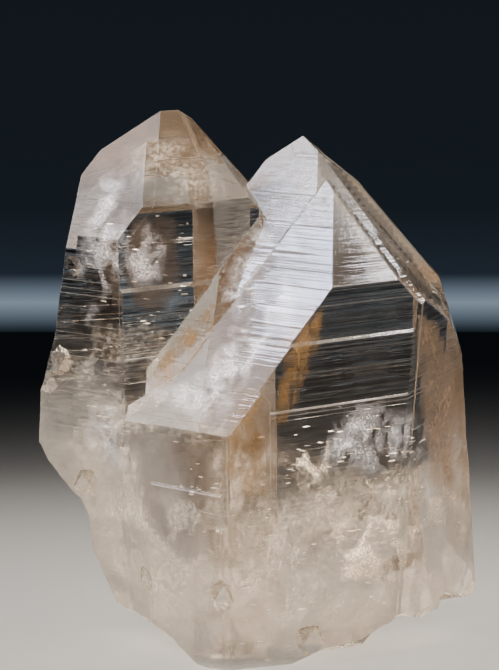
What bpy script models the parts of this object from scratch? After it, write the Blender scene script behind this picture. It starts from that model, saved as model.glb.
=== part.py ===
"""Smoky quartz: two parallel crystals grown together on a broken base that is cut flat to stand on.

Row frame: X to the right, Y to the back, Z up, with the origin under the middle of the piece.
Lengths are millimetres until a mesh is made. A crystal face is given by the way it looks, as a turn
round the crystal's own upright axis from straight ahead and a tilt above its equator, and by how far
it lies from the heart of its crystal. A younger layer of growth is the same crystal with one face moved
out and the faces round that one drawn in, so every layer ends in a low ledge.
"""

import math

import bmesh
import bpy
from mathutils import Matrix, Vector, noise
from mathutils.bvhtree import BVHTree

MM = 0.001

# The upright axis of both crystals leans to the front.
LEAN_DEG = 11.9
SIDE_LEAN_DEG = -0.7
YAW_DEG = -3.6

# Quartz: a pyramid face looks this far above the prism face under it.
PYRAMID = 38.2
PRISM = 0.0

RIGHT_HEART = Vector((12.0, 0.0, 35.1))
LEFT_HEART = Vector((-16.0, 3.0, 40.1))

BLOCK_SIDE = 170.0

# The back body of the right crystal, with the taller tip.
RIGHT_BACK = {
    "front left pyramid": (-30, PYRAMID, 21.3),
    "front right pyramid": (30, PYRAMID, 19.2),
    "right pyramid": (90, PYRAMID, 21.3),
    "back right pyramid": (150, PYRAMID, 28.7),
    "back left pyramid": (-150, PYRAMID, 32.5),
    "tip bevel": (90, 50, 27.75),
    "left pyramid": (-90, PYRAMID, 31.0),
    "front left prism": (-30, PRISM, 25.4),
    "front right prism": (30, PRISM, 10.4),
    "right flank": (65, -2.8, 12.5),
    "right side": (90, 4, 19.4),
    "right shoulder": (90, 17, 20.1),
    "back right prism": (150, PRISM, 23.4),
    "back left prism": (-150, PRISM, 18.0),
    "left prism": (-90, PRISM, 27.0),
}

# The front body of the right crystal, with the tall pale face.
RIGHT_FRONT = {
    "front left pyramid": (-30, PYRAMID, 22.6),
    "front right pyramid": (30, PYRAMID, 22.4),
    "right pyramid": (90, PYRAMID, 20.6),
    "back right pyramid": (150, PYRAMID, 24.0),
    "back left pyramid": (-150, PYRAMID, 25.0),
    "left pyramid": (-90, PYRAMID, 22.7),
    "front left prism": (-30, PRISM, 26.5),
    "front right prism": (30, PRISM, 11.3),
    "right flank": (65, -2.8, 12.35),
    "right side": (90, 4, 19.2),
    "back right prism": (150, PRISM, 16.0),
    "back left prism": (-150, PRISM, 18.0),
    "left prism": (-90, PRISM, 26.0),
}

# The low wing that carries the foot of the pale face to the left.
WING = {
    "front left pyramid": (-30, PYRAMID, 22.4),
    "back left pyramid": (-150, PYRAMID, 6.2),
    "front left prism": (-30, PRISM, 26.4),
    "front right prism": (30, PRISM, 11.2),
    "left flank": (-55, -4.2, 31.7),
    "back left prism": (-150, PRISM, 18.0),
    "right prism": (90, PRISM, -6.0),
    "left prism": (-90, PRISM, 34.5),
}

# The broad foot low on the right.
RIGHT_FOOT = {
    "front left pyramid": (-30, PYRAMID, 12.0),
    "front right pyramid": (30, PYRAMID, 11.0),
    "right pyramid": (90, PYRAMID, 14.0),
    "back right pyramid": (150, PYRAMID, 12.0),
    "front right prism": (30, PRISM, 9.8),
    "right flank": (66, 5.5, 11.5),
    "right side": (90, 4, 19.5),
    "back right prism": (150, PRISM, 22.8),
    "back left prism": (-150, PRISM, 12.0),
    "left prism": (-90, PRISM, 4.0),
}

LEFT_BACK = {
    "front left pyramid": (-30, PYRAMID, 22.1),
    "front right pyramid": (30, PYRAMID, 24.1),
    "right pyramid": (90, PYRAMID, 29.4),
    "back right pyramid": (150, PYRAMID, 29.2),
    "back left pyramid": (-150, PYRAMID, 25.25),
    "left pyramid": (-90, PYRAMID, 26.2),
    "front left prism": (-30, PRISM, 11.3),
    "front right prism": (30, PRISM, 8.9),
    "right prism": (90, PRISM, 17.0),
    "back right prism": (150, PRISM, 15.0),
    "back left prism": (-150, PRISM, 13.0),
    "left side": (-90, 9, 13.8),
}

# The rounded lobe low on the left, where the left crystal swells out before it breaks off.
LEFT_LOBE = {
    "front left pyramid": (-30, PYRAMID, 14.0),
    "front left prism": (-30, PRISM, 11.2),
    "front right prism": (30, PRISM, 8.0),
    "front right pyramid": (30, PYRAMID, 12.0),
    "right pyramid": (90, PYRAMID, 12.0),
    "back right pyramid": (150, PYRAMID, 12.0),
    "back left pyramid": (-150, PYRAMID, 12.0),
    "left pyramid": (-90, 17, 14.6),
    "left prism": (-90, 4, 15.4),
    "back left prism": (-150, PRISM, 12.0),
    "right prism": (90, PRISM, 8.0),
    "back right prism": (150, PRISM, 12.0),
}

# A small crystal that stands proud of the front face, with its own cut top.
FRONT_PLATE = {
    "front left pyramid": (-30, PYRAMID, 22.5),
    "right pyramid": (90, PYRAMID, -2.7),
    "front left prism": (-30, PRISM, 26.3),
    "front right prism": (30, PRISM, 12.1),
    "right prism": (90, PRISM, -8.8),
    "lower end": (30, -52, 14.0),
    "left prism": (-90, PRISM, 20.0),
    "back left pyramid": (-150, PYRAMID, 4.0),
    "back left prism": (-150, PRISM, 6.0),
    "back right prism": (150, PRISM, 8.0),
}

# Younger layers, each as the faces that differ from its body.
RIGHT_BACK_LAYERS = (
    {"right pyramid": (90, PYRAMID, 21.75), "front right prism": (30, PRISM, 3.0)},
    {
        "right pyramid": (90, PYRAMID, 23.2),
        "back right pyramid": (150, PYRAMID, 28.2),
        "front right prism": (30, PRISM, -4.5),
    },
)
RIGHT_FRONT_LAYERS = (
    {"front right prism": (30, PRISM, 11.6), "front right pyramid": (30, PYRAMID, 17.9)},
    {"front right prism": (30, PRISM, 11.8), "front right pyramid": (30, PYRAMID, 12.4)},
    {"front left prism": (-30, PRISM, 26.8), "front left pyramid": (-30, PYRAMID, 17.4)},
)
LEFT_BACK_LAYERS = (
    {
        "front left pyramid": (-30, PYRAMID, 23.3),
        "back left pyramid": (-150, PYRAMID, 20.4),
        "left pyramid": (-90, PYRAMID, 23.6),
        "left side": (-90, 9, 12.2),
    },
    {"front right prism": (30, PRISM, 9.3), "front right pyramid": (30, PYRAMID, 17.0)},
)

# A layer's other faces lie this little below the body's.
LAYER_HAIR = 0.03

# Where the broken underside meets the front of the piece, as X and Z from left to right.
BROKEN_FRONT = (
    (-60.0, 76.0),
    (-40.0, 46.0),
    (-34.0, 36.0),
    (-31.8, 33.5),
    (-30.8, 31.0),
    (-28.6, 28.6),
    (-25.6, 25.9),
    (-24.5, 23.4),
    (-24.0, 18.2),
    (-22.3, 14.5),
    (-20.4, 10.6),
    (-17.1, 8.1),
    (-13.2, 5.9),
    (-11.2, 3.2),
    (-8.2, 0.0),
    (-1.0, -0.2),
    (3.0, 0.6),
    (5.3, 1.2),
    (9.8, 2.7),
    (16.0, 4.0),
    (22.0, 7.4),
    (29.0, 10.4),
    (34.0, 11.8),
    (42.0, 13.0),
    (60.0, 14.0),
)
FRONT_DEPTH = -12.0
UNDERSIDE_FALL = 0.16
BACK_RISE = 1.3
BACK_RISE_FROM = 18.0
ROUGH_CELL = 2.6
ROUGH_HEIGHT = 0.9
ROUGH_SPACING = 6.0
UNDERSIDE_DEPTH = 70.0

# Shallow chips struck from the edges, as X, Z and the size of the ball that leaves the scar.
FRONT_CHIPS = (
    (-19.9, 37.6, 4.2),
    (-18.6, 31.6, 3.4),
    (-31.0, 40.0, 3.6),
    (-24.6, 25.2, 4.4),
    (-4.1, 21.0, 2.6),
    (-3.7, 10.6, 4.4),
    (20.9, 22.0, 3.4),
    (20.0, 12.4, 4.6),
    (-15.8, 12.0, 4.0),
    (32.6, 16.0, 3.6),
    (-26.0, 57.0, 3.0),
    (8.0, 3.4, 5.0),
)
BACK_CHIPS = (
    (-14.0, 30.0, 6.0),
    (9.0, 60.0, 4.4),
    (10.5, 24.0, 7.0),
    (-26.0, 44.0, 5.0),
    (27.0, 30.0, 5.0),
    (-6.0, 14.0, 6.0),
)
CHIP_UNEVEN = 0.10
CHIP_STANDOFF = 0.84

SMOKY_BEIGE = (0.60, 0.50, 0.42, 1.0)
QUARTZ_IOR = 1.544
POLISH_ROUGHNESS = 0.04


def axis_turn():
    """The turn from the crystals' own axes to the row frame."""
    lean = Matrix.Rotation(math.radians(LEAN_DEG), 3, "X")
    side = Matrix.Rotation(math.radians(SIDE_LEAN_DEG), 3, "Y")
    yaw = Matrix.Rotation(math.radians(YAW_DEG), 3, "Z")
    return side @ lean @ yaw


TURN = axis_turn()


def looks(azimuth, tilt):
    """The outward direction of a face, in the row frame."""
    turn = math.radians(azimuth)
    rise = math.radians(tilt)
    level = math.cos(rise)
    return TURN @ Vector((math.sin(turn) * level, -math.cos(turn) * level, math.sin(rise)))


def clear_scene():
    """Start from an empty scene."""
    for old in list(bpy.data.objects):
        bpy.data.objects.remove(old, do_unlink=True)


def placed(name, mesh):
    """Put a finished bmesh into the scene as an object."""
    bmesh.ops.recalc_face_normals(mesh, faces=mesh.faces)
    data = bpy.data.meshes.new(name)
    mesh.to_mesh(data)
    mesh.free()
    made = bpy.data.objects.new(name, data)
    bpy.context.scene.collection.objects.link(made)
    return made


def cut_away(mesh, point, normal):
    """Cut off all that lies outside one plane and close the cut with one face."""
    cut = bmesh.ops.bisect_plane(
        mesh,
        geom=mesh.verts[:] + mesh.edges[:] + mesh.faces[:],
        dist=0.00001,
        plane_co=point,
        plane_no=normal,
        clear_outer=True,
    )
    rim = [item for item in cut["geom_cut"] if isinstance(item, bmesh.types.BMEdge)]
    if len(rim) > 2:
        bmesh.ops.contextual_create(mesh, geom=rim)


def grown(name, heart, faces):
    """One convex individual: a block from which every face cuts what lies outside it."""
    mesh = bmesh.new()
    bmesh.ops.create_cube(mesh, size=BLOCK_SIDE)
    bmesh.ops.translate(mesh, verts=mesh.verts, vec=heart)
    for azimuth, tilt, distance in faces.values():
        normal = looks(azimuth, tilt)
        cut_away(mesh, heart + normal * distance, normal)
    return placed(name, mesh)


def combine(target, other, operation):
    """Join a second solid to the first, or take it away, and drop it."""
    step = target.modifiers.new(operation.lower(), "BOOLEAN")
    step.operation = operation
    step.solver = "EXACT"
    step.object = other
    bpy.context.view_layer.objects.active = target
    bpy.ops.object.modifier_apply(modifier=step.name)
    bpy.data.objects.remove(other, do_unlink=True)


def layered(body, layers):
    """A body and its layers; a layer's other faces lie a hair under those of the one before."""
    yield body
    for number, layer in enumerate(layers, start=1):
        drawn_in = {}
        for face, (azimuth, tilt, distance) in body.items():
            drawn_in[face] = (azimuth, tilt, distance - LAYER_HAIR * number)
        yield {**drawn_in, **layer}


def individuals():
    """All the individuals of the group but the first, as heart and faces."""
    back = layered(RIGHT_BACK, RIGHT_BACK_LAYERS)
    next(back)
    for faces in back:
        yield RIGHT_HEART, faces
    for faces in layered(RIGHT_FRONT, RIGHT_FRONT_LAYERS):
        yield RIGHT_HEART, faces
    yield RIGHT_HEART, WING
    yield RIGHT_HEART, FRONT_PLATE
    yield RIGHT_HEART, RIGHT_FOOT
    for faces in layered(LEFT_BACK, LEFT_BACK_LAYERS):
        yield LEFT_HEART, faces
    yield LEFT_HEART, LEFT_LOBE


def front_height(across):
    """Height of the broken edge at one X."""
    for (left, low), (right, high) in zip(BROKEN_FRONT, BROKEN_FRONT[1:]):
        if across <= right:
            share = (across - left) / (right - left)
            return low + (high - low) * share
    return BROKEN_FRONT[-1][1]


def underside():
    """The rough ground that is taken away below the broken underside."""
    mesh = bmesh.new()
    columns = []
    for (left, low), (right, high) in zip(BROKEN_FRONT, BROKEN_FRONT[1:]):
        pieces = max(1, round(math.hypot(right - left, high - low) / ROUGH_CELL))
        columns.extend(left + (right - left) * step / pieces for step in range(pieces))
    columns.append(BROKEN_FRONT[-1][0])
    rows = [-60.0, *(-30.0 + ROUGH_CELL * step for step in range(26)), 80.0]
    top = []
    for number, across in enumerate(columns):
        line = []
        for back in rows:
            place = Vector((across, back, 3.0)) / ROUGH_SPACING
            rough = ROUGH_HEIGHT * (noise.cell(place) - 0.5 + noise.noise(place * 1.7))
            height = front_height(across) - UNDERSIDE_FALL * (min(back, 40.0) - FRONT_DEPTH) + rough
            height += BACK_RISE * max(0.0, min(back, 40.0) - BACK_RISE_FROM)
            line.append(mesh.verts.new((across, back, max(0.0, height))))
        top.append(line)
    for left, right in zip(top, top[1:]):
        for step in range(len(rows) - 1):
            mesh.faces.new((left[step], right[step], right[step + 1], left[step + 1]))
    bmesh.ops.triangulate(mesh, faces=mesh.faces[:])
    rim = [edge for edge in mesh.edges if edge.is_boundary]
    walls = bmesh.ops.extrude_edge_only(mesh, edges=rim)["geom"]
    for vert in walls:
        if isinstance(vert, bmesh.types.BMVert):
            vert.co.z = -UNDERSIDE_DEPTH
    floor = [edge for edge in walls if isinstance(edge, bmesh.types.BMEdge)]
    floor = [edge for edge in floor if edge.is_boundary]
    bmesh.ops.contextual_create(mesh, geom=floor)
    return placed("underside_cutter", mesh)


def chip(stone, number, across, height, size, side):
    """A faceted ball set just off the surface, to leave a shallow shell-shaped scar in it."""
    ground = bmesh.new()
    ground.from_mesh(stone.data)
    tree = BVHTree.FromBMesh(ground)
    ground.free()
    start = Vector((across, 80.0 * side, height))
    place, normal = tree.ray_cast(start, Vector((0.0, -side, 0.0)))[:2]
    mesh = bmesh.new()
    bmesh.ops.create_icosphere(mesh, subdivisions=2, radius=size)
    for vert in mesh.verts:
        seed = vert.co.normalized() * 1.7 + Vector((number * 3.7, side, 0.0))
        vert.co *= 1.0 + CHIP_UNEVEN * noise.noise(seed)
    bmesh.ops.translate(mesh, verts=mesh.verts, vec=place + normal * size * CHIP_STANDOFF)
    return placed(f"chip_cutter_{number}", mesh)


def finish(stone):
    """Clean the solid, set it over the origin and turn it to metres."""
    mesh = bmesh.new()
    mesh.from_mesh(stone.data)
    across = [vert.co.x for vert in mesh.verts]
    back = [vert.co.y for vert in mesh.verts]
    middle = Vector((min(across) + max(across), min(back) + max(back), 0.0)) / 2
    bmesh.ops.translate(mesh, verts=mesh.verts, vec=-middle)
    bmesh.ops.dissolve_limit(
        mesh,
        angle_limit=math.radians(0.02),
        verts=mesh.verts,
        edges=mesh.edges,
    )
    bmesh.ops.triangulate(mesh, faces=mesh.faces[:])
    bmesh.ops.scale(mesh, vec=(MM, MM, MM), verts=mesh.verts)
    mesh.to_mesh(stone.data)
    mesh.free()


def stone_material():
    """Clear smoky quartz."""
    material = bpy.data.materials.new("smoky_quartz")
    material.use_nodes = True
    shader = material.node_tree.nodes["Principled BSDF"]
    shader.inputs["Base Color"].default_value = SMOKY_BEIGE
    shader.inputs["Roughness"].default_value = POLISH_ROUGHNESS
    shader.inputs["Metallic"].default_value = 0.0
    shader.inputs["IOR"].default_value = QUARTZ_IOR
    shader.inputs["Transmission Weight"].default_value = 1.0
    return material


def main():
    """Build the whole piece as one solid."""
    clear_scene()
    stone = grown("smoky_quartz_crystal", RIGHT_HEART, RIGHT_BACK)
    for number, (heart, faces) in enumerate(individuals()):
        combine(stone, grown(f"individual_{number}", heart, faces), "UNION")
    combine(stone, underside(), "DIFFERENCE")
    for number, (across, height, size) in enumerate(FRONT_CHIPS):
        combine(stone, chip(stone, number, across, height, size, -1.0), "DIFFERENCE")
    for number, (across, height, size) in enumerate(BACK_CHIPS):
        combine(stone, chip(stone, number, across, height, size, 1.0), "DIFFERENCE")
    finish(stone)
    stone.data.materials.append(stone_material())


main()
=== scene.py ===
"""Looks of a smoky quartz specimen: two crystals grown together on a broken, milky base.

Row frame: X to the right, Y to the back, Z up, the base resting on the floor at Z 0. Constants and
tables are in millimetres, unless their name or comment says otherwise.
"""

import math
import random
from bisect import bisect_left
from typing import NamedTuple

import bmesh
import bpy
from mathutils import Matrix, Vector, noise
from mathutils.bvhtree import BVHTree


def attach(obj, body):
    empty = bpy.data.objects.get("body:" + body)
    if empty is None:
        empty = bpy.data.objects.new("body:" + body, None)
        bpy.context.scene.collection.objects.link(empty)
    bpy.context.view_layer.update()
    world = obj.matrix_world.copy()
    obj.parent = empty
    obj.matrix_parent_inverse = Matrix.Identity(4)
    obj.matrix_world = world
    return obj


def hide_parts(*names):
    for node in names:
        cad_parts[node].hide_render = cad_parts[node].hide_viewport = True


bl_info = {
    "name": "Smoky quartz specimen",
    "version": (1, 0, 0),
    "blender": (4, 5, 0),
    "location": "3D View > Sidebar > Quartz",
    "description": "Dresses a two-crystal smoky quartz specimen and sets its stage",
    "category": "Object",
}

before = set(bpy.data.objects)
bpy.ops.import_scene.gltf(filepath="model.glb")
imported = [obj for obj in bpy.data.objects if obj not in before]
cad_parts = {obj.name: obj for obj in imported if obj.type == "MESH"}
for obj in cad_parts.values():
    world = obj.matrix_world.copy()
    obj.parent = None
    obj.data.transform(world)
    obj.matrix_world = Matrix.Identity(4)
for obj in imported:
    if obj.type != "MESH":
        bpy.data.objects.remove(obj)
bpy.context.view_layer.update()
CAD_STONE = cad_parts["smoky_quartz_crystal"]

MM = 0.001

# The crystals' own upright axis, as it leans in the piece.
LEAN_DEG = 11.9
SIDE_LEAN_DEG = -0.7
YAW_DEG = -3.6

# Which way quartz faces look: their turn about the axis, and their rise above level.
FACE_TURN_DEG = 60.0
FACE_TURN_SLACK_DEG = 8.0
PRISM_RISE_DEG = (-6.0, 20.0)
PYRAMID_DEG = 38.2
PYRAMID_SLACK_DEG = 4.0
STEEP_RISE_DEG = (46.0, 54.0)
FRONT_RISE_DEG = 14.0
FRONT_TURN_DEG = 100.0

# Growth ledges across the crystals, by their place along the axis. Each keeps a share of the step
# below it. They fade out above the base and step as much as asked at LEDGE_REACH from the axis.
LEDGE_FROM = 17.0
LEDGE_TO = 74.0
LEDGE_HALF_WIDTH = 0.03
LEDGE_LEAST_GAP = 0.25
LEDGE_KEPT = 0.6
LEDGE_CHANGE = 0.7
LEDGE_FADE_FROM = 12.0
LEDGE_FADE_OVER = 6.0
LEDGE_REACH = 20.0
LEDGE_SEED = 41

# Where the stone is milky: under BASE_CLEAR_FROM, and in the left crystal's lower half.
BASE_CLEAR_FROM = 28.0
BASE_MILKY_OVER = 18.0
LEFT_MILKY_FROM = -9.0
LEFT_MILKY_OVER = 8.0
LEFT_CLEAR_FROM = 54.0
LEFT_MILKY_TALL = 24.0

# Real sizes of the stone's patterns. A strength is the share of a height that shows.
# Reach of the frosted edges, which are partly real wear and partly a painted highlight.
EDGE_WEAR_AND_HIGHLIGHT = 0.3
LINE_HEIGHT = 0.12
LINE_STRENGTH = 0.36
SHELL_HEIGHT = 1.0
SHELL_STRENGTH = 0.8

# Noise scales of patterns, in features a metre.
GRAIN_SCALE = 1500.0
CLOUD_SCALE = 120.0
LINED_PATCH_SCALE = 90.0
SHELL_SCALE = 330.0
AIR_SCALE = 300.0

# Clear and milky quartz: their polish, the light that milky quartz lets through, and the smoke a metre.
CLEAR_ROUGHNESS = 0.015
FROST_ROUGHNESS = 0.5
MILKY_CLEAR_SHARE = 0.60
QUARTZ_IOR = 1.544
SMOKE_DENSITY = 21.0

# Sheets inside the stone: their grid, their thickness, the stone that stays before and behind them,
# how they wave, how far from the stone's middle the rays start that find its faces, and how much finer
# the specks in a sheet are than its clouds.
SHEET_CELL = 0.8
SHEET_THICKNESS = 0.06
SHEET_LEAST_DEPTH = 0.5
SHEET_BACK_GAP = 0.8
WAVES_PER_MM = 0.16
WAVE_FRACTAL = (0.9, 2.1, 4)
WAVE_SHIFT = 9.0
RAY_START = 80.0
SPECKS_PER_CLOUD = 14.0


class Sheet(NamedTuple):
    """A sheet inside the stone, drawn as its outline seen from the front in X and Z.

    It lies a depth behind the stone's front, a tilt deeper for each millimetre up, and is so rough.
    """

    depth: float
    tilt: float
    rough: float
    outline: tuple


# Milky clouds, deep in the lower end and faint in the left crystal's tip.
CLOUDS = {
    "cloud_low_front": Sheet(
        depth=2.4,
        tilt=0.1,
        rough=1.2,
        outline=(
            (-31, 33), (-24, 30), (-10, 27), (4, 28), (16, 26), (33, 28), (34, 10), (20, 4), (4, 1),
            (-14, 3), (-25, 14),
        ),
    ),
    "cloud_low_middle": Sheet(
        depth=8.0,
        tilt=0.25,
        rough=2.6,
        outline=(
            (-31, 34), (-20, 33), (-8, 31), (6, 25), (14, 32), (30, 31), (34, 10), (18, 4), (0, 1),
            (-15, 4), (-25, 14),
        ),
    ),
    "cloud_low_back": Sheet(
        depth=16.0,
        tilt=0.2,
        rough=3.6,
        outline=(
            (-31, 38), (-18, 42), (-4, 36), (8, 30), (20, 30), (33, 33), (34, 11), (18, 5), (-2, 2),
            (-16, 5), (-25, 15),
        ),
    ),
    "cloud_left_top": Sheet(
        depth=2.0,
        tilt=0.0,
        rough=0.9,
        outline=(
            (-21.5, 74.1), (-16.8, 76.8), (-12.7, 78.0), (-9.5, 75.0), (-5.8, 70.3), (-4.2, 66.8),
            (-8.7, 64.6), (-15.3, 64.6), (-19.6, 68.0),
        ),
    ),
    "cloud_left_low": Sheet(
        depth=3.5,
        tilt=0.1,
        rough=1.6,
        outline=(
            (-31, 46), (-24, 50), (-13, 49), (-10, 42), (-17, 36), (-24, 33), (-31, 34),
        ),
    ),
}

# Healed cracks, close under the faces.
VEILS = {
    "veil_pale_face": Sheet(
        depth=1.6,
        tilt=-0.05,
        rough=0.8,
        outline=(
            (-18.7, 38.4), (-6.4, 33.2), (-0.6, 40.7), (7.6, 52.6), (2.8, 56.4), (-1.4, 53.2),
            (-6.1, 47.2), (-9.2, 42.4),
        ),
    ),
    "veil_scratched": Sheet(
        depth=1.4,
        tilt=0.3,
        rough=0.9,
        outline=(
            (-3.6, 63.0), (2.6, 62.0), (2.0, 57.0), (-0.4, 53.0), (-5.2, 47.8), (-7.0, 52.1),
            (-5.0, 58.0),
        ),
    ),
    "veil_left_white": Sheet(
        depth=2.0,
        tilt=-0.2,
        rough=1.0,
        outline=(
            (-24.5, 71.2), (-19.4, 71.4), (-18.8, 60.0), (-20.6, 52.1), (-25.1, 47.8),
            (-27.6, 52.1), (-26.6, 63.4),
        ),
    ),
    "veil_left_middle": Sheet(
        depth=7.0,
        tilt=0.6,
        rough=2.6,
        outline=(
            (-22.6, 62.8), (-17.6, 64.4), (-14.8, 60.2), (-15.4, 54.4), (-20.0, 52.6),
            (-22.2, 56.8),
        ),
    ),
    "veil_right": Sheet(
        depth=6.0,
        tilt=0.4,
        rough=2.4,
        outline=(
            (8.5, 36.4), (13.0, 38.6), (20.5, 36.6), (24.8, 31.0), (20.8, 27.0), (10.6, 25.6),
            (6.1, 30.2),
        ),
    ),
    "veil_right_edge": Sheet(
        depth=4.0,
        tilt=0.2,
        rough=1.6,
        outline=(
            (22.0, 32.0), (29.5, 36.0), (30.4, 24.0), (27.0, 16.0), (21.0, 20.0),
        ),
    ),
    "veil_chipped_side": Sheet(
        depth=0.9,
        tilt=0.1,
        rough=0.6,
        outline=(
            (-25.8, 37.4), (-19.1, 38.3), (-18.4, 27.6), (-22.9, 25.8), (-27.2, 31.2),
        ),
    ),
}

# Iron stains.
STAINS = {
    "stain_base": Sheet(
        depth=0.7,
        tilt=0.0,
        rough=0.3,
        outline=(
            (-7.6, 4.4), (-1.2, 4.6), (-0.4, 1.6), (-5.9, 1.2),
        ),
    ),
    "stain_right_foot": Sheet(
        depth=0.8,
        tilt=0.1,
        rough=0.5,
        outline=(
            (17.6, 15.4), (24.0, 15.6), (23.8, 11.8), (18.2, 11.6),
        ),
    ),
    "stain_low": Sheet(
        depth=1.3,
        tilt=0.05,
        rough=0.7,
        outline=(
            (-6.2, 32.2), (-3.4, 40.2), (0.2, 40.6), (1.0, 37.9), (0.7, 24.1), (-3.5, 24.3),
            (-5.9, 28.0),
        ),
    ),
    "stain_window": Sheet(
        depth=3.0,
        tilt=0.1,
        rough=1.0,
        outline=(
            (0.4, 34.5), (1.4, 44.0), (4.4, 50.0), (8.3, 52.3), (7.9, 46.4), (5.6, 40.7),
            (3.2, 34.5),
        ),
    ),
    "stain_wedge": Sheet(
        depth=0.8,
        tilt=0.0,
        rough=0.4,
        outline=(
            (-17.4, 38.6), (-15.4, 43.8), (-11.6, 47.8), (-8.6, 51.4), (-6.4, 53.2), (-6.2, 48.4),
            (-8.2, 44.6), (-10.2, 42.2), (-13.6, 39.2),
        ),
    ),
}

# Smoky zones of growth, and painted shade: dark sheets under the small face and the pale face.
SMOKE_SHEETS_AND_SHADE = {
    "smoke_front_face": Sheet(
        depth=2.4,
        tilt=0.05,
        rough=0.8,
        outline=(
            (-19.5, 35.0), (-6.6, 32.4), (-5.0, 24.0), (-6.0, 17.0), (-11.0, 14.0), (-17.5, 20.0),
        ),
    ),
    # Painted shade: a dark sheet that darkens the small face.
    "painted_shade_small_face": Sheet(
        depth=0.8,
        tilt=0.0,
        rough=0.5,
        outline=(
            (7.6, 70.0), (8.6, 53.2), (15.0, 53.4), (15.0, 59.0), (11.0, 66.0),
        ),
    ),
    # Painted shade: a dark sheet that darkens the view through the pale face.
    "painted_shade_pale_face": Sheet(
        depth=4.0,
        tilt=0.1,
        rough=1.6,
        outline=(
            (-2.0, 62.0), (8.6, 69.0), (9.2, 54.0), (2.0, 44.0), (-6.0, 47.0),
        ),
    ),
    "smoke_left": Sheet(
        depth=9.0,
        tilt=0.3,
        rough=2.0,
        outline=(
            (-22.4, 65.2), (-14.2, 65.5), (-12.9, 55.5), (-15.0, 50.0), (-20.5, 51.1),
            (-22.9, 57.7),
        ),
    ),
}

# Painted light: smoke painted warm and pale, as if a lit break shone through it.
PAINTED_LIGHT_SMOKE = {
    "painted_lit_right_flank": Sheet(
        depth=1.4,
        tilt=0.0,
        rough=0.4,
        outline=(
            (20.6, 51.0), (25.0, 49.5), (28.6, 43.0), (30.2, 34.0), (29.6, 22.0), (24.0, 24.0),
            (21.6, 38.0),
        ),
    ),
}

# The darkest smoke along the right crystal's ridge, and painted shade under its small face.
DEEP_SMOKE_AND_SHADE = {
    # Painted shade: a nearly black sheet that darkens the small face.
    "painted_shade_small_face_deep": Sheet(
        depth=0.5,
        tilt=0.0,
        rough=0.2,
        outline=(
            (7.6, 69.6), (8.4, 53.2), (15.0, 53.6), (14.6, 57.5), (12.4, 62.5), (9.6, 67.4),
        ),
    ),
    "deep_ridge": Sheet(
        depth=0.7,
        tilt=0.0,
        rough=0.2,
        outline=(
            (6.5, 75.5), (9.0, 74.5), (17.0, 66.2), (22.5, 59.5), (27.5, 51.5), (25.6, 50.5),
            (18.6, 54.4), (9.2, 67.6), (7.0, 71.0),
        ),
    ),
}

# Open cracks, whose shine is a painted reflection: pale sheets.
CRACKS_PAINTED_SHINE = {
    "crack_low_right": Sheet(
        depth=2.2,
        tilt=0.5,
        rough=1.6,
        outline=(
            (8.2, 20.9), (15.0, 22.0), (23.0, 19.0), (20.5, 10.0), (10.6, 11.4),
        ),
    ),
    "crack_right_edge": Sheet(
        depth=1.4,
        tilt=0.4,
        rough=0.9,
        outline=(
            (23.4, 22.9), (27.9, 23.0), (27.7, 17.1), (23.5, 17.3),
        ),
    ),
    "crack_middle": Sheet(
        depth=2.8,
        tilt=0.7,
        rough=1.2,
        outline=(
            (3.0, 30.5), (8.6, 33.0), (9.4, 27.0), (5.0, 24.5),
        ),
    ),
}

# The feather: painted shade, a dark sheet where a crack throws the light away from the eye.
PAINTED_SHADE_FEATHER = {
    "painted_shade_feather": Sheet(
        depth=3.4,
        tilt=0.3,
        rough=1.2,
        outline=(
            (11.3, 25.1), (13.6, 24.2), (15.8, 24.4), (14.9, 21.8), (13.8, 19.5), (12.0, 20.2),
            (12.4, 22.4),
        ),
    ),
}

# Tiny bright plates in cracks: the middle of each group in X and Z, its reach, depth, and how many.
GLINTS = (
    (11.0, 32.0, 6.0, 3.0, 26),
    (20.0, 28.0, 6.0, 3.5, 30),
    (2.0, 27.0, 5.0, 2.5, 16),
    (-22.0, 34.0, 4.0, 1.5, 22),
    (-17.0, 50.0, 5.0, 4.0, 16),
    (-20.5, 60.0, 5.0, 4.5, 12),
    (14.0, 14.0, 8.0, 2.5, 26),
    (-2.0, 12.0, 9.0, 3.0, 22),
    (27.0, 22.0, 4.0, 2.0, 18),
    (-10.0, 27.0, 6.0, 2.0, 16),
    (-1.0, 52.0, 4.0, 1.5, 14),
    (-17.5, 58.0, 7.0, 7.0, 16),
    (24.2, 51.4, 1.8, 0.4, 8),
    (12.4, 65.2, 1.4, 0.4, 6),
    (18.5, 58.5, 2.0, 0.4, 6),
    (21.0, 31.0, 2.2, 2.0, 14),
)
GLINT_SIZES = (0.2, 1.0)
GLINT_CORNERS = (4, 6)
GLINT_LOOSE = 0.22
GLINT_NARROW = 0.5
GLINT_LEAST_DEPTH = 0.6
GLINT_BACK_GAP = 1.5
GLINT_SEED = 7

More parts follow.
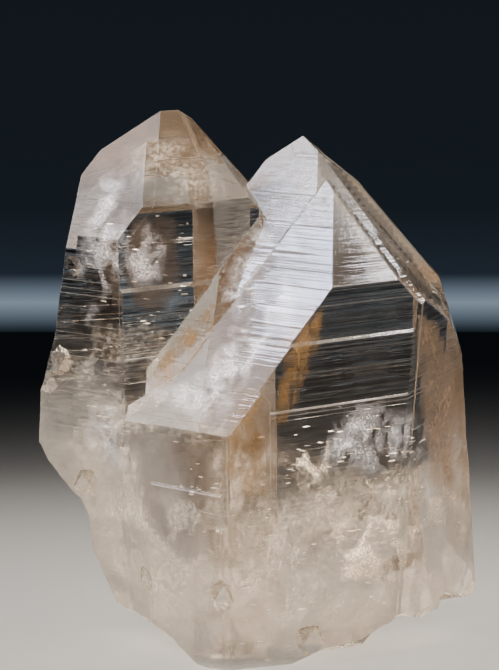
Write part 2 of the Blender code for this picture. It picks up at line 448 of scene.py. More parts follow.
# Soft panels: name, place in metres, way they shine, sides in metres, level, colour, spread in degrees.
# Light that comes from the left or the right is thrown to the front by the flat pyramid faces.
FROM_LEFT = (0.666, 0.184, -0.723)
FROM_RIGHT = (-0.602, 0.278, -0.748)
FROM_FRONT = (0.17, 0.80, -0.56)
FROM_BACK = (-0.08, -0.72, -0.69)
PANELS = (
    ("pale_face_panel", (-0.2765, -0.1091, 0.3964), FROM_LEFT, (0.050, 0.070), 9.5, "#D4E1FF", 120),
    ("tip_panel", (-0.2715, -0.0602, 0.4134), FROM_LEFT, (0.018, 0.040), 4.0, "#D4E1FF", 120),
    ("left_panel", (-0.36, -0.12, 0.44), FROM_LEFT, (0.34, 0.34), 0.42, "#EEF1FF", 60),
    ("small_face_panel", (0.2981, -0.1397, 0.3853), FROM_RIGHT, (0.030, 0.044), 10.0, "#F2F4FF", 120),
    ("right_panel", (0.34, -0.14, 0.44), FROM_RIGHT, (0.30, 0.30), 0.08, "#FFF4E8", 60),
    ("front_panel", (-0.10, -0.46, 0.36), FROM_FRONT, (0.30, 0.20), 2.4, "#FFF8F0", 45),
    ("back_panel", (0.05, 0.36, 0.36), FROM_BACK, (0.30, 0.16), 1.2, "#FFF6EC", 60),
)

# The dark room by height, from below the horizon to high above it, with a cool band at the horizon.
ROOM = (
    (0.0, "#1A2327"),
    (0.47, "#222B31"),
    (0.50, "#7C8995"),
    (0.53, "#2B323B"),
    (0.60, "#22282E"),
    (1.0, "#1E2328"),
)
ROOM_REACH = 0.25
FLOOR_CORNERS = 96

CAMERA_PLACE = (-2.188, -278.639, 51.7)
CAMERA_TILT_DEG = 89.0
CAMERA_LENS = 100.0
CAMERA_SENSOR = 36.0
CAMERA_NEAR_FAR = (10.0, 20000.0)


def linear(code):
    """An sRGB hex colour as linear red, green, blue and full alpha."""
    shares = [int(code[place : place + 2], 16) / 255 for place in (1, 3, 5)]
    turned = [share / 12.92 if share <= 0.04045 else ((share + 0.055) / 1.055) ** 2.4 for share in shares]
    return (*turned, 1.0)


def clamp(value, low=0.0, high=1.0):
    """A value kept between two limits."""
    return max(low, min(high, value))


def crystal_turn():
    """The turn from the crystals' own axes to the row frame."""
    lean = Matrix.Rotation(math.radians(LEAN_DEG), 3, "X")
    side = Matrix.Rotation(math.radians(SIDE_LEAN_DEG), 3, "Y")
    yaw = Matrix.Rotation(math.radians(YAW_DEG), 3, "Z")
    return side @ lean @ yaw


TURN = crystal_turn()
AXIS = TURN @ Vector((0.0, 0.0, 1.0))


class QuartzSizes(bpy.types.PropertyGroup):
    """Sizes a user would change."""

    ledges: bpy.props.IntProperty(
        name="Growth ledges",
        description="How many growth ledges run across the crystals",
        default=64,
        min=2,
        max=120,
    )
    ledge_step: bpy.props.FloatProperty(
        name="Ledge step",
        description="How far the tallest growth ledge stands out at a crystal's side",
        default=0.00006,
        min=0.0,
        max=0.0005,
        unit="LENGTH",
    )
    line_spacing: bpy.props.FloatProperty(
        name="Line spacing",
        description="Distance between the fine growth lines",
        default=0.0005,
        min=0.0001,
        max=0.002,
        unit="LENGTH",
    )
    floor_radius: bpy.props.FloatProperty(
        name="Floor radius",
        description="How far the studio floor reaches",
        default=3.0,
        min=0.5,
        unit="LENGTH",
    )


class QuartzColours(bpy.types.PropertyGroup):
    """Colours a user would change."""

    milky: bpy.props.FloatVectorProperty(
        name="Milky quartz",
        description="Colour of the cloudy parts of the stone",
        subtype="COLOR",
        size=4,
        default=linear("#BDB09C"),
    )
    stain: bpy.props.FloatVectorProperty(
        name="Iron stain",
        description="Colour of the iron stains",
        subtype="COLOR",
        size=4,
        default=linear("#8A6A3C"),
    )
    # Painted reflection: the colour that open cracks shine in.
    crack: bpy.props.FloatVectorProperty(
        name="Open crack",
        description="Colour of the light in open cracks",
        subtype="COLOR",
        size=4,
        default=linear("#F2E4D2"),
    )
    floor: bpy.props.FloatVectorProperty(
        name="Floor",
        description="Colour of the studio floor",
        subtype="COLOR",
        size=4,
        default=linear("#A8A6A2"),
    )


def node(tree, kind, values=None, **settings):
    """Add one node with its settings, its numbers and its links."""
    made = tree.nodes.new(kind)
    for name, value in settings.items():
        setattr(made, name, value)
    for socket, value in (values or {}).items():
        if isinstance(value, bpy.types.NodeSocket):
            tree.links.new(value, made.inputs[socket])
        else:
            made.inputs[socket].default_value = value
    return made


def blank_material(name):
    """A new material with an empty tree."""
    material = bpy.data.materials.new(name)
    material.use_nodes = True
    material.node_tree.nodes.clear()
    return material, material.node_tree


def surfaced(tree, shader):
    """Give a tree its output, fed by a surface shader."""
    return node(tree, "ShaderNodeOutputMaterial", {"Surface": shader.outputs["BSDF"]})


def ramp(tree, source, stops):
    """A colour ramp fed by a socket, as places and grey levels or colours."""
    made = node(tree, "ShaderNodeValToRGB", {"Fac": source})
    line = made.color_ramp
    while len(line.elements) < len(stops):
        line.elements.new(0.5)
    for element, (place, colour) in zip(line.elements, stops):
        element.position = place
        element.color = colour if isinstance(colour, tuple) else (colour, colour, colour, 1.0)
    return made.outputs["Color"]


def stone_material():
    """Smoky quartz, grown and broken."""
    sizes = bpy.context.scene.quartz_sizes
    colours = bpy.context.scene.quartz_colours
    material, tree = blank_material("smoky_quartz")
    place = node(tree, "ShaderNodeNewGeometry").outputs["Position"]
    broken = node(tree, "ShaderNodeAttribute", attribute_name="broken").outputs["Fac"]
    milky_height = node(tree, "ShaderNodeAttribute", attribute_name="milky").outputs["Fac"]

    # Milky quartz: the breaks and the lower end look frosted, in soft clouds.
    wide = node(
        tree,
        "ShaderNodeTexNoise",
        {"Vector": place, "Scale": CLOUD_SCALE, "Detail": 5.0, "Roughness": 0.62},
    )
    cloudy = node(tree, "ShaderNodeMath", {0: wide.outputs["Fac"], 1: milky_height}, operation="MULTIPLY")
    cloudy = node(tree, "ShaderNodeMath", {0: broken, 1: 0.30, 2: cloudy.outputs[0]}, operation="MULTIPLY_ADD")
    soft = ramp(tree, cloudy.outputs[0], ((0.20, 0.0), (0.85, 1.0)))

    # Sharp edges are nibbled and frosted, which draws them as pale lines: partly real wear and partly a painted
    # highlight along every edge.
    grain = node(tree, "ShaderNodeTexNoise", {"Vector": place, "Scale": GRAIN_SCALE, "Detail": 4.0})
    rounded = node(tree, "ShaderNodeBevel", {"Radius": EDGE_WEAR_AND_HIGHLIGHT * MM}, samples=2)
    flat = node(tree, "ShaderNodeNewGeometry").outputs["True Normal"]
    turn = node(tree, "ShaderNodeVectorMath", {0: rounded.outputs["Normal"], 1: flat}, operation="DOT_PRODUCT")
    worn_and_highlight = node(tree, "ShaderNodeMapRange", {"Value": turn.outputs["Value"], "From Min": 0.99, "From Max": 0.86})
    worn_and_highlight = node(tree, "ShaderNodeMath", {0: worn_and_highlight.outputs["Result"], 1: grain.outputs["Fac"]}, operation="MULTIPLY")
    milky = node(tree, "ShaderNodeMath", {0: soft, 1: worn_and_highlight.outputs[0]}, operation="MAXIMUM", use_clamp=True).outputs[0]

    # Clear quartz is glass-smooth and a trace yellow. Milky quartz lets less through and is rougher.
    clear_share = node(tree, "ShaderNodeMapRange", {"Value": milky, "To Min": 1.0, "To Max": MILKY_CLEAR_SHARE})
    frost = node(tree, "ShaderNodeMath", {0: milky, 1: grain.outputs["Fac"]}, operation="MULTIPLY")
    rough = node(
        tree,
        "ShaderNodeMapRange",
        {"Value": frost.outputs[0], "To Min": CLEAR_ROUGHNESS, "To Max": FROST_ROUGHNESS},
    )
    colour = node(
        tree,
        "ShaderNodeMix",
        {0: milky, 6: linear("#F8F7F4"), 7: tuple(colours.milky)},
        data_type="RGBA",
    )

    # Growth lines lie square to the crystals' axis, in patches. Real ones are finer than the render
    # shows, so they are drawn as coarse as it needs.
    along = node(tree, "ShaderNodeVectorMath", {0: place, 1: AXIS}, operation="DOT_PRODUCT")
    lines = node(
        tree,
        "ShaderNodeTexNoise",
        {"W": along.outputs["Value"], "Scale": 1.0 / sizes.line_spacing, "Detail": 2.0},
        noise_dimensions="1D",
    )
    patchy = node(tree, "ShaderNodeTexNoise", {"Vector": place, "Scale": LINED_PATCH_SCALE, "Detail": 2.0})
    patches = ramp(tree, patchy.outputs["Fac"], ((0.36, 0.0), (0.56, 1.0)))
    lined = node(tree, "ShaderNodeMath", {0: lines.outputs["Fac"], 1: patches}, operation="MULTIPLY")
    relief = node(tree, "ShaderNodeMath", {0: grain.outputs["Fac"], 1: milky}, operation="MULTIPLY")
    relief = node(tree, "ShaderNodeMath", {0: relief.outputs[0], 1: 0.9, 2: lined.outputs[0]}, operation="MULTIPLY_ADD")
    fine_bump = node(
        tree,
        "ShaderNodeBump",
        {"Height": relief.outputs[0], "Strength": LINE_STRENGTH, "Distance": LINE_HEIGHT * MM},
    )

    # Broken quartz breaks in shell shapes, which roll softly.
    shells = node(
        tree,
        "ShaderNodeTexNoise",
        {"Vector": place, "Scale": SHELL_SCALE, "Detail": 3.0, "Roughness": 0.5, "Distortion": 1.5},
    )
    rolls = node(tree, "ShaderNodeMath", {0: shells.outputs["Fac"], 1: broken}, operation="MULTIPLY")
    bump = node(
        tree,
        "ShaderNodeBump",
        {
            "Height": rolls.outputs[0],
            "Strength": SHELL_STRENGTH,
            "Distance": SHELL_HEIGHT * MM,
            "Normal": fine_bump.outputs["Normal"],
        },
    )

    shader = node(
        tree,
        "ShaderNodeBsdfPrincipled",
        {
            "Base Color": colour.outputs[2],
            "Roughness": rough.outputs["Result"],
            "IOR": QUARTZ_IOR,
            "Transmission Weight": clear_share.outputs["Result"],
            "Normal": bump.outputs["Normal"],
        },
    )
    out = surfaced(tree, shader)

    # The smoke in the quartz browns light on its way through.
    smoke = node(tree, "ShaderNodeVolumeAbsorption", {"Color": linear("#C4AE90"), "Density": SMOKE_DENSITY})
    tree.links.new(smoke.outputs["Volume"], out.inputs["Volume"])
    return material


def inner_material(name, dark, light, scale, stops, most, rough=0.6, least_speck=0.25, streak=1.0):
    """A wispy sheet inside the stone: two colours, and an opacity of clouds times fine specks.

    The scale is that of its clouds' noise, the most its greatest opacity, and the least speck
    the share of it that stays between specks. A streak under 1 draws the clouds out upward.
    """
    material, tree = blank_material(name)
    place = node(tree, "ShaderNodeNewGeometry").outputs["Position"]
    drawn = node(tree, "ShaderNodeVectorMath", {0: place, 1: (1.0, 1.0, streak)}, operation="MULTIPLY").outputs[0]
    wide = node(
        tree,
        "ShaderNodeTexNoise",
        {"Vector": drawn, "Scale": scale, "Detail": 4.0, "Roughness": 0.62, "Distortion": 0.8},
    )
    fine = node(
        tree,
        "ShaderNodeTexNoise",
        {"Vector": place, "Scale": scale * SPECKS_PER_CLOUD, "Detail": 2.0, "Roughness": 0.75},
    )
    edge = node(tree, "ShaderNodeAttribute", attribute_name="inward").outputs["Fac"]
    clouds = ramp(tree, wide.outputs["Fac"], stops)
    specks = ramp(tree, fine.outputs["Fac"], ((0.42, least_speck), (0.62, 1.0)))
    both = node(tree, "ShaderNodeMath", {0: clouds, 1: specks}, operation="MULTIPLY")
    faded = node(tree, "ShaderNodeMath", {0: both.outputs[0], 1: edge}, operation="MULTIPLY")
    alpha = node(tree, "ShaderNodeMath", {0: faded.outputs[0], 1: most}, operation="MULTIPLY")
    colour = ramp(tree, fine.outputs["Fac"], ((0.35, dark), (0.65, light)))
    shader = node(
        tree,
        "ShaderNodeBsdfPrincipled",
        {"Base Color": colour, "Roughness": rough, "Alpha": alpha.outputs[0], "Specular IOR Level": 0.2},
    )
    surfaced(tree, shader)
    return material


def linked(name, mesh, material):
    """Put a finished bmesh into the scene with its material."""
    data = bpy.data.meshes.new(name)
    mesh.to_mesh(data)
    mesh.free()
    data.materials.append(material)
    made = bpy.data.objects.new(name, data)
    bpy.context.scene.collection.objects.link(made)
    return made


def cut_ledges(mesh, places):
    """Slice the mesh twice at each ledge, a hair apart."""
    for place in places:
        for side in (-LEDGE_HALF_WIDTH, LEDGE_HALF_WIDTH):
            bmesh.ops.bisect_plane(
                mesh,
                geom=mesh.verts[:] + mesh.edges[:] + mesh.faces[:],
                dist=1e-8,
                plane_co=AXIS * ((place + side) * MM),
                plane_no=AXIS,
            )


def is_crystal_face(normal):
    """True for a prism or pyramid face, False for a break or a chip."""
    own = TURN.transposed() @ normal
    rise = math.degrees(math.asin(clamp(own.z, -1.0, 1.0)))
    turn = math.degrees(math.atan2(own.x, -own.y))
    off = abs(turn % FACE_TURN_DEG - FACE_TURN_DEG / 2)
    in_front = rise < FRONT_RISE_DEG and abs(turn) < FRONT_TURN_DEG
    if off > FACE_TURN_SLACK_DEG and not in_front:
        return False
    prism = PRISM_RISE_DEG[0] < rise < PRISM_RISE_DEG[1]
    pyramid = abs(rise - PYRAMID_DEG) < PYRAMID_SLACK_DEG
    steep = STEEP_RISE_DEG[0] < rise < STEEP_RISE_DEG[1]
    return prism or pyramid or steep


def milky_share(point):
    """How milky the stone is at a point in millimetres."""
    base = (BASE_CLEAR_FROM - point.z) / BASE_MILKY_OVER
    left = min(1.0, (LEFT_MILKY_FROM - point.x) / LEFT_MILKY_OVER) * (LEFT_CLEAR_FROM - point.z) / LEFT_MILKY_TALL
    return clamp(max(base, left))


def ledge_places():
    """Where the growth ledges lie along the axis, and the step of each layer between them."""
    chance = random.Random(LEDGE_SEED)
    ledges = bpy.context.scene.quartz_sizes.ledges
    places = sorted(chance.uniform(LEDGE_FROM, LEDGE_TO) for _ in range(ledges))
    places = [place for place, after in zip(places, places[1:]) if after - place > LEDGE_LEAST_GAP]
    steps = [0.0]
    for _ in places:
        change = chance.uniform(-LEDGE_CHANGE, LEDGE_CHANGE)
        steps.append(clamp(steps[-1] * LEDGE_KEPT + change, -1.0, 1.0))
    return places, steps


def dressed_stone():
    """The stone with its growth ledges cut into a copy of the solid."""
    places, steps = ledge_places()
    mesh = bmesh.new()
    mesh.from_mesh(CAD_STONE.data)
    bmesh.ops.remove_doubles(mesh, verts=mesh.verts, dist=1e-7)
    bmesh.ops.dissolve_limit(mesh, angle_limit=math.radians(0.05), verts=mesh.verts, edges=mesh.edges)
    cut_ledges(mesh, places)
    broken = mesh.faces.layers.float.new("broken")
    milky = mesh.verts.layers.float.new("milky")
    mesh.normal_update()
    for face in mesh.faces:
        face[broken] = 0.0 if is_crystal_face(face.normal) else 1.0
    for vert in mesh.verts:
        vert[milky] = milky_share(vert.co / MM)
    furthest = bpy.context.scene.quartz_sizes.ledge_step / (LEDGE_REACH * MM)
    for vert in mesh.verts:
        place = vert.co.dot(AXIS) / MM
        step = steps[bisect_left(places, place)]
        outward = vert.co - AXIS * vert.co.dot(AXIS)
        fade = clamp((place - LEDGE_FADE_FROM) / LEDGE_FADE_OVER)
        vert.co += outward * (step * fade * furthest)
    bmesh.ops.triangulate(mesh, faces=mesh.faces[:])
    bmesh.ops.recalc_face_normals(mesh, faces=mesh.faces)
    return mesh


def stone_tree():
    """The CAD solid as a search tree."""
    ground = bmesh.new()
    ground.from_mesh(CAD_STONE.data)
    tree = BVHTree.FromBMesh(ground)
    ground.free()
    return tree


def stone_span(tree, x, z):
    """Where the stone starts and ends behind a spot seen from the front, or nothing beside it."""
    front = tree.ray_cast(Vector((x, -RAY_START, z)) * MM, Vector((0.0, 1.0, 0.0)))[0]
    back = tree.ray_cast(Vector((x, RAY_START, z)) * MM, Vector((0.0, -1.0, 0.0)))[0]
    if front is None or back is None:
        return None
    return front.y / MM, back.y / MM


def inside_outline(outline, x, z):
    """True if a point lies in a closed outline."""
    found = False
    for (x1, z1), (x2, z2) in zip(outline, (*outline[1:], outline[0])):
        if (z1 > z) != (z2 > z) and x < (x2 - x1) * (z - z1) / (z2 - z1) + x1:
            found = not found
    return found


def outline_distance(outline, x, z):
    """How far a point lies from a closed outline."""
    best = math.inf
    spot = Vector((x, z))
    for start, end in zip(outline, (*outline[1:], outline[0])):
        corner = Vector(start)
        side = Vector(end) - corner
        share = clamp((spot - corner).dot(side) / side.length_squared)
        best = min(best, (corner + side * share - spot).length)
    return best


def sheet_grid(mesh, tree, number, fade, sheet):
    """The corners of a sheet, which follow the stone's front at its depth, by column and row."""
    inward = mesh.verts.layers.float.new("inward")
    low_x, low_z = (min(corner[axis] for corner in sheet.outline) for axis in (0, 1))
    high_x, high_z = (max(corner[axis] for corner in sheet.outline) for axis in (0, 1))
    columns = int((high_x - low_x) / SHEET_CELL) + 2
    rows = int((high_z - low_z) / SHEET_CELL) + 2
    middle_z = low_z + rows * SHEET_CELL / 2
    grid = {}
    for column in range(columns):
        for row in range(rows):
            x = low_x + column * SHEET_CELL
            z = low_z + row * SHEET_CELL
            if not inside_outline(sheet.outline, x, z):
                continue
            span = stone_span(tree, x, z)
            if span is None:
                continue
            wave = noise.fractal(Vector((x, z, number * WAVE_SHIFT)) * WAVES_PER_MM, *WAVE_FRACTAL)
            depth = sheet.depth + sheet.tilt * (z - middle_z) + sheet.rough * wave
            y = span[0] + max(SHEET_LEAST_DEPTH, depth)
            if y > span[1] - SHEET_BACK_GAP:
                continue
            vert = mesh.verts.new(Vector((x, y, z)) * MM)
            vert[inward] = min(1.0, outline_distance(sheet.outline, x, z) / fade)
            grid[column, row] = vert
    return grid


def inner_sheet(tree, number, fade, sheet):
    """A thin closed sheet inside the stone."""
    mesh = bmesh.new()
    grid = sheet_grid(mesh, tree, number, fade, sheet)
    for column, row in grid:
        corners = [(column, row), (column + 1, row), (column + 1, row + 1), (column, row + 1)]
        if all(corner in grid for corner in corners):
            mesh.faces.new([grid[corner] for corner in corners])
    loose = [vert for vert in mesh.verts if not vert.link_faces]
    bmesh.ops.delete(mesh, geom=loose, context="VERTS")
    bmesh.ops.solidify(mesh, geom=mesh.faces[:], thickness=SHEET_THICKNESS * MM)
    bmesh.ops.recalc_face_normals(mesh, faces=mesh.faces)
    return mesh


def lay_sheets(table, material, first, fade, shades=False):
    """Build every sheet of one table, thinning out over so many millimetres at its rim.

    They are numbered from the first on, and a sheet's number sets how it waves.
    """
    tree = stone_tree()
    for number, (name, sheet) in enumerate(table.items(), start=first):
        made = linked(name, inner_sheet(tree, number, fade, sheet), material)
        for polygon in made.data.polygons:
            polygon.use_smooth = True
        made.visible_shadow = shades
        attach(made, "root")


def add_glint(mesh, middle, size, chance):
    """Add one thin plate, lying roughly along the growth layers."""
    loose = Vector((chance.uniform(-1.0, 1.0), chance.uniform(-1.0, 1.0), 0.0)) * GLINT_LOOSE
    turn = (AXIS + loose).normalized().to_track_quat("Z", "Y").to_matrix()
    corners = chance.randint(*GLINT_CORNERS)
    rim = []
    for corner in range(corners):
        angle = math.tau * corner / corners
        reach = size * chance.uniform(0.5, 1.0)
        rim.append(Vector((math.cos(angle) * reach, math.sin(angle) * reach * GLINT_NARROW, 0.0)))
    half = Vector((0.0, 0.0, SHEET_THICKNESS / 2))
    low = [mesh.verts.new((middle + turn @ (point - half)) * MM) for point in rim]
    high = [mesh.verts.new((middle + turn @ (point + half)) * MM) for point in rim]
    mesh.faces.new(low[::-1])
    mesh.faces.new(high)
    for corner in range(corners):
        after = (corner + 1) % corners
        mesh.faces.new((low[corner], low[after], high[after], high[corner]))


def glint_plates():
    """Scatter small thin plates inside the stone."""
    tree = stone_tree()
    chance = random.Random(GLINT_SEED)
    mesh = bmesh.new()
    for group_x, group_z, reach, depth, count in GLINTS:
        for _ in range(count):
            x = chance.gauss(group_x, reach / 2)
            z = chance.gauss(group_z, reach / 2)
            size = chance.uniform(*GLINT_SIZES)
            inward = GLINT_LEAST_DEPTH + size + chance.random() * depth
            span = stone_span(tree, x, z)
            if span is None or span[0] + inward > span[1] - GLINT_BACK_GAP:
                continue
            add_glint(mesh, Vector((x, span[0] + inward, z)), size, chance)
    bmesh.ops.recalc_face_normals(mesh, faces=mesh.faces)
    return mesh


class QUARTZ_OT_stone(bpy.types.Operator):
    """Build the stone with its growth ledges and glassy faces"""

    bl_idname = "quartz.stone"
    bl_label = "Stone"

    def execute(self, context):
        """Replace the plain solid by the dressed one."""
        made = linked("smoky_quartz_stone", dressed_stone(), stone_material())
        # The lamps shine through it onto the sheets inside and onto the floor, as through clear quartz.
        made.visible_shadow = False
        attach(made, "root")
        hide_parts("smoky_quartz_crystal")
        return {"FINISHED"}


class QUARTZ_OT_clouds(bpy.types.Operator):
    """Build the milky clouds inside the stone"""

    bl_idname = "quartz.clouds"
    bl_label = "Milky clouds"

    def execute(self, context):
        """Lay the clouds."""
        # Milky quartz: fine bubbles that scatter light softly.
        material = inner_material(
            "milky_quartz",
            dark=tuple(context.scene.quartz_colours.milky),
            light=linear("#E4D9CC"),
            scale=110.0,
            stops=((0.38, 0.0), (0.66, 1.0)),
            most=0.45,
        )
        lay_sheets(CLOUDS, material, first=1, fade=5.0, shades=True)
        return {"FINISHED"}


class QUARTZ_OT_veils(bpy.types.Operator):
    """Build the pale veils of healed cracks"""

    bl_idname = "quartz.veils"
    bl_label = "Healed cracks"

    def execute(self, context):
        """Lay the veils."""
        # A healed crack: a sheet of tiny cavities, white where light strikes them.
        material = inner_material(
            "healed_crack",
            dark=linear("#BDB8BC"),
            light=linear("#F4F3F6"),
            scale=210.0,
            stops=((0.42, 0.0), (0.62, 1.0)),
            most=0.5,
            least_speck=0.4,
        )
        lay_sheets(VEILS, material, first=11, fade=3.5)
        return {"FINISHED"}


class QUARTZ_OT_stains(bpy.types.Operator):
    """Build the golden iron stains"""

    bl_idname = "quartz.stains"
    bl_label = "Iron stains"

    def execute(self, context):
        """Lay the stains."""
        # Iron oxide: thin rusty films in old cracks, golden where light comes through, in long streaks.
        material = inner_material(
            "iron_oxide",
            dark=linear("#4E361C"),
            light=tuple(context.scene.quartz_colours.stain),
            scale=520.0,
            stops=((0.40, 0.10), (0.62, 1.0)),
            most=0.85,
            least_speck=0.35,
            streak=0.3,
        )
        lay_sheets(STAINS, material, first=31, fade=1.2)
        return {"FINISHED"}


class QUARTZ_OT_smoke(bpy.types.Operator):
    """Build the smoky growth zones, with painted shade and painted light among them"""

    bl_idname = "quartz.smoke"
    bl_label = "Smoky zones"

    def execute(self, context):
        """Lay the smoky and deep zones, with their painted shade, and the smoke painted as lit."""
        # Smoky zones: layers of growth that look a deeper brown than the rest. The same dark sheets paint shade under
        # the small face and the pale face.
        material = inner_material(
            "smoke_and_painted_shade",
            dark=linear("#453A31"),
            light=linear("#574B40"),
            scale=90.0,
            stops=((0.30, 0.25), (0.60, 1.0)),
            most=0.72,
            rough=0.9,
            least_speck=0.8,
        )
        lay_sheets(SMOKE_SHEETS_AND_SHADE, material, first=91, fade=2.0)
        # Painted light: a lit copy of the smoky zone, painted warm and pale as if a lit break shone through it.
        material = inner_material(
            "painted_lit_smoke",
            dark=linear("#97806A"),
            light=linear("#B8A188"),
            scale=90.0,
            stops=((0.30, 0.25), (0.60, 1.0)),
            most=0.75,
            rough=0.9,
            least_speck=0.8,
        )
        lay_sheets(PAINTED_LIGHT_SMOKE, material, first=90, fade=2.0)
        # Deep smoke: the darkest growth, next to the sharp edges, which looks nearly black. Under the small face it is
        # painted shade.
        material = inner_material(
            "deep_smoke_and_painted_shade",
            dark=linear("#2B2725"),
            light=linear("#48423D"),
            scale=260.0,
            stops=((0.36, 0.45), (0.58, 1.0)),
            most=0.92,
            rough=0.9,
            least_speck=0.7,
        )
        lay_sheets(DEEP_SMOKE_AND_SHADE, material, first=81, fade=1.0)
        return {"FINISHED"}


class QUARTZ_OT_cracks(bpy.types.Operator):
    """Build the open cracks, whose shine is painted, and the feather of painted shade"""

    bl_idname = "quartz.cracks"
    bl_label = "Open cracks"

    def execute(self, context):
        """Lay the cracks and the feather."""
        # An open crack: a film of air that shines warm and bright, drawn as a pale sheet: a painted reflection.
        material = inner_material(
            "open_crack_painted_shine",
            dark=linear("#D9C3A6"),
            light=tuple(context.scene.quartz_colours.crack),
            scale=240.0,
            stops=((0.44, 0.0), (0.58, 1.0)),
            most=0.9,
            rough=0.35,
        )
        lay_sheets(CRACKS_PAINTED_SHINE, material, first=51, fade=1.2)
        # Painted shade: a dark sheet for a crack that throws the light away from the eye.
        material = inner_material(
            "painted_shade_film",
            dark=linear("#2A211C"),
            light=linear("#4A3A30"),
            scale=400.0,
            stops=((0.42, 0.0), (0.56, 1.0)),
            most=0.9,
        )
        lay_sheets(PAINTED_SHADE_FEATHER, material, first=71, fade=0.8)
        return {"FINISHED"}


class QUARTZ_OT_glints(bpy.types.Operator):
    """Build the tiny bright plates in the cracks"""

    bl_idname = "quartz.glints"
    bl_label = "Glints"

    def execute(self, context):
        """Scatter the plates."""
        # An air film: it throws all light back, so it sparkles like a small mirror.
        material, tree = blank_material("air_film")
        place = node(tree, "ShaderNodeNewGeometry").outputs["Position"]
        tone = node(tree, "ShaderNodeTexNoise", {"Vector": place, "Scale": AIR_SCALE})
        colour = ramp(tree, tone.outputs["Fac"], ((0.40, linear("#F2EFEA")), (0.60, linear("#D8C3A4"))))
        shader = node(
            tree,
            "ShaderNodeBsdfPrincipled",
            {"Base Color": colour, "Roughness": 0.28, "Metallic": 0.6},
        )
        surfaced(tree, shader)
        made = linked("crack_glints", glint_plates(), material)
        made.visible_shadow = False
        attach(made, "root")
        return {"FINISHED"}


def panel_light(name, place, way, size, level, colour, spread_deg):
    """A soft light panel of a given brightness that shines along a direction."""
    light = bpy.data.lights.new(name, "AREA")
    light.shape = "RECTANGLE"
    light.size, light.size_y = size
    light.energy = level * math.pi * size[0] * size[1]
    light.color = linear(colour)[:3]
    light.spread = math.radians(spread_deg)
    made = bpy.data.objects.new(name, light)
    made.location = place
    made.rotation_euler = Vector(way).to_track_quat("-Z", "Y").to_euler()
    bpy.context.scene.collection.objects.link(made)


def dark_studio():
    """A dark room with a faint cool band of light at the horizon."""
    world = bpy.data.worlds.new("studio")
    bpy.context.scene.world = world
    world.use_nodes = True
    tree = world.node_tree
    tree.nodes.clear()
    way = node(tree, "ShaderNodeTexCoord").outputs["Generated"]
    parts = node(tree, "ShaderNodeSeparateXYZ", {"Vector": way})
    lift = node(
        tree,
        "ShaderNodeMapRange",
        {"Value": parts.outputs["Z"], "From Min": -ROOM_REACH, "From Max": ROOM_REACH},
    )
    room = ramp(tree, lift.outputs["Result"], [(place, linear(code)) for place, code in ROOM])
    back = node(tree, "ShaderNodeBackground", {"Color": room, "Strength": 1.0})
    node(tree, "ShaderNodeOutputWorld", {"Surface": back.outputs["Background"]})


def studio_floor():
    """A plain pale floor."""
    mesh = bmesh.new()
    radius = bpy.context.scene.quartz_sizes.floor_radius
    bmesh.ops.create_circle(mesh, cap_ends=True, segments=FLOOR_CORNERS, radius=radius)
    # Painted board: dull, so the lamps leave no bright spot on it.
    material, tree = blank_material("painted_board")
    shader = node(
        tree,
        "ShaderNodeBsdfPrincipled",
        {"Base Color": tuple(bpy.context.scene.quartz_colours.floor), "Roughness": 0.75},
    )
    surfaced(tree, shader)
    linked("studio_floor", mesh, material)


def photo_camera():
    """A long lens, close by and almost level."""
    camera = bpy.data.cameras.new("camera")
    camera.lens = CAMERA_LENS
    camera.sensor_width = CAMERA_SENSOR
    camera.clip_start, camera.clip_end = (reach * MM for reach in CAMERA_NEAR_FAR)
    made = bpy.data.objects.new("camera", camera)
    made.location = Vector(CAMERA_PLACE) * MM
    made.rotation_euler = (math.radians(CAMERA_TILT_DEG), 0.0, 0.0)
    bpy.context.scene.collection.objects.link(made)
    bpy.context.scene.camera = made


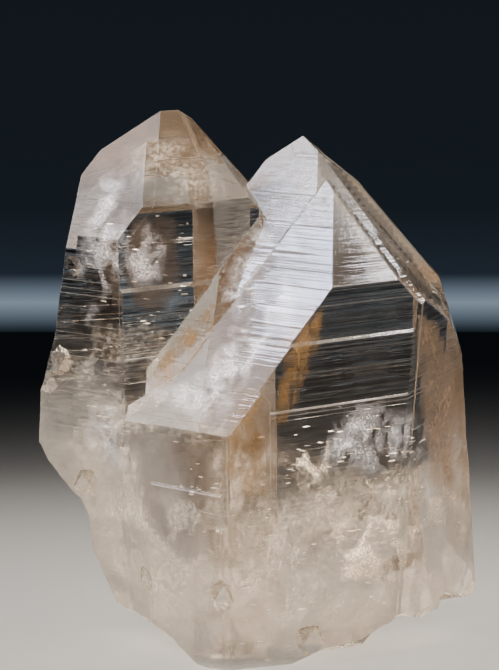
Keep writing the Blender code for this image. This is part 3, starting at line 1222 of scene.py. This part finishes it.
class QUARTZ_OT_stage(bpy.types.Operator):
    """Set the floor, the lights, the room and the camera"""

    bl_idname = "quartz.stage"
    bl_label = "Stage"

    def execute(self, context):
        """Set the stage."""
        studio_floor()
        dark_studio()
        for panel in PANELS:
            panel_light(*panel)
        photo_camera()
        scene = context.scene
        # Light crosses many faces and sheets before it leaves the stone.
        scene.cycles.max_bounces = 14
        scene.cycles.transmission_bounces = 12
        scene.cycles.transparent_max_bounces = 24
        scene.cycles.glossy_bounces = 4
        scene.cycles.diffuse_bounces = 3
        scene.view_settings.look = "AgX - Medium High Contrast"
        return {"FINISHED"}


class QUARTZ_PT_panel(bpy.types.Panel):
    """Lists the pieces of the specimen"""

    bl_idname = "QUARTZ_PT_panel"
    bl_label = "Quartz"
    bl_space_type = "VIEW_3D"
    bl_region_type = "UI"
    bl_category = "Quartz"

    def draw(self, context):
        """Sizes, colours and one button for each piece."""
        layout = self.layout
        for group in (context.scene.quartz_sizes, context.scene.quartz_colours):
            for name in group.__annotations__:
                layout.prop(group, name)
        for operator in OPERATORS:
            layout.operator(operator.bl_idname)


OPERATORS = (
    QUARTZ_OT_stone,
    QUARTZ_OT_clouds,
    QUARTZ_OT_veils,
    QUARTZ_OT_stains,
    QUARTZ_OT_smoke,
    QUARTZ_OT_cracks,
    QUARTZ_OT_glints,
    QUARTZ_OT_stage,
)
CLASSES = (QuartzSizes, QuartzColours, *OPERATORS, QUARTZ_PT_panel)


def register():
    """Make the classes and the settings known."""
    for kind in CLASSES:
        bpy.utils.register_class(kind)
    bpy.types.Scene.quartz_sizes = bpy.props.PointerProperty(type=QuartzSizes)
    bpy.types.Scene.quartz_colours = bpy.props.PointerProperty(type=QuartzColours)


def unregister():
    """Take the classes and the settings back."""
    del bpy.types.Scene.quartz_colours
    del bpy.types.Scene.quartz_sizes
    for kind in reversed(CLASSES):
        bpy.utils.unregister_class(kind)


def main():
    """Build every piece."""
    register()
    for make in (
        bpy.ops.quartz.stone,
        bpy.ops.quartz.clouds,
        bpy.ops.quartz.veils,
        bpy.ops.quartz.stains,
        bpy.ops.quartz.smoke,
        bpy.ops.quartz.cracks,
        bpy.ops.quartz.glints,
        bpy.ops.quartz.stage,
    ):
        make()


if __name__ == "__main__":
    main()
